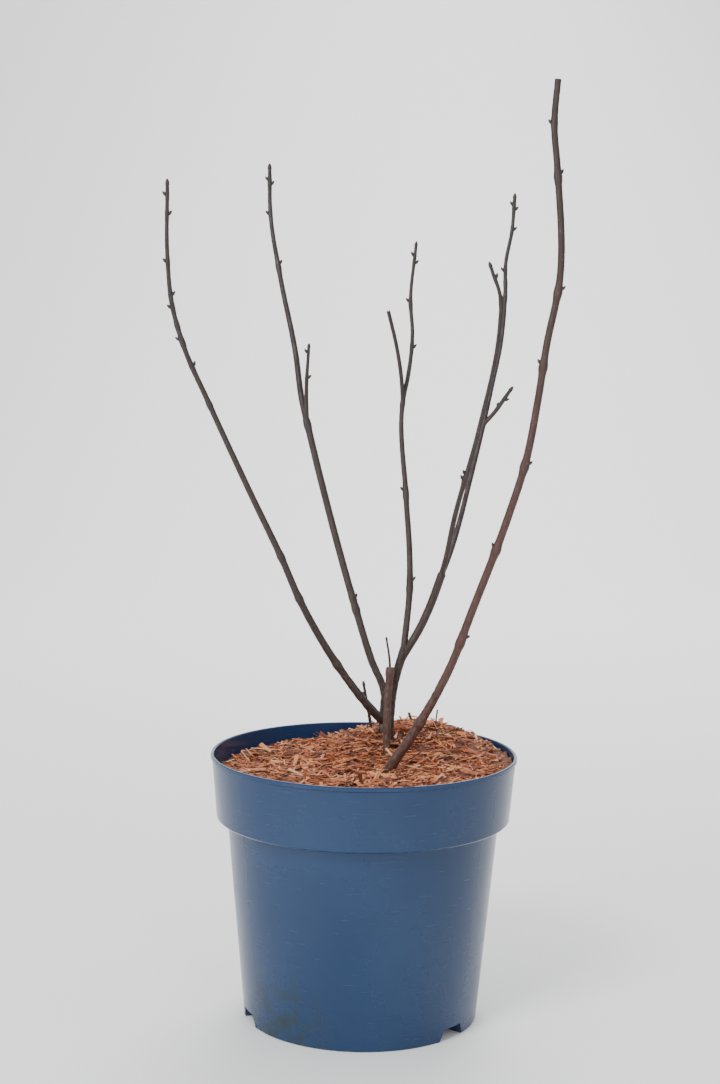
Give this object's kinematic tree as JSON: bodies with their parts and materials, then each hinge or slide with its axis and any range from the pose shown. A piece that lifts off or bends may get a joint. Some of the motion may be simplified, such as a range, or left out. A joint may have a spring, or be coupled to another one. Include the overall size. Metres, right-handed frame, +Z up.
{
  "type": "potted shrub",
  "caption": "Young deciduous shrub with bare upright winter stems, alternate buds and old pruning cuts, growing in a round blue plastic nursery pot topped with bark mulch.",
  "frame": {"origin": "Middle of the pot's flat underside, on the ground.", "axes": "+Z up, the front of the plant looks along -Y, +X to the right seen from the front."},
  "size_m": [0.2541, 0.2209, 0.6157],
  "materials": {
    "blue_plastic": "satin moulded plastic, lightly scuffed",
    "compost": "dark damp fibrous compost",
    "bark_mulch": "shredded reddish bark",
    "red_brown_bark": "smooth reddish-brown bark",
    "grey_brown_bark": "grey-brown fissured bark"
  },
  "bodies": {
    "root": {"pot": "blue_plastic", "soil": "compost", "mulch": "bark_mulch", "trunk": "grey_brown_bark", "front_stem": "red_brown_bark", "left_stem": "grey_brown_bark", "short_stub": "grey_brown_bark", "right_front_stem": "red_brown_bark", "dead_spur": "grey_brown_bark", "far_left_stem": "grey_brown_bark", "short_left_twig": "grey_brown_bark", "upper_left_bough": "grey_brown_bark", "centre_bough": "grey_brown_bark", "centre_cut_twig": "grey_brown_bark", "right_bough": "grey_brown_bark", "inner_right_bough": "grey_brown_bark", "outer_right_bough": "grey_brown_bark", "outer_right_twig": "grey_brown_bark"}
  },
  "joints": []
}
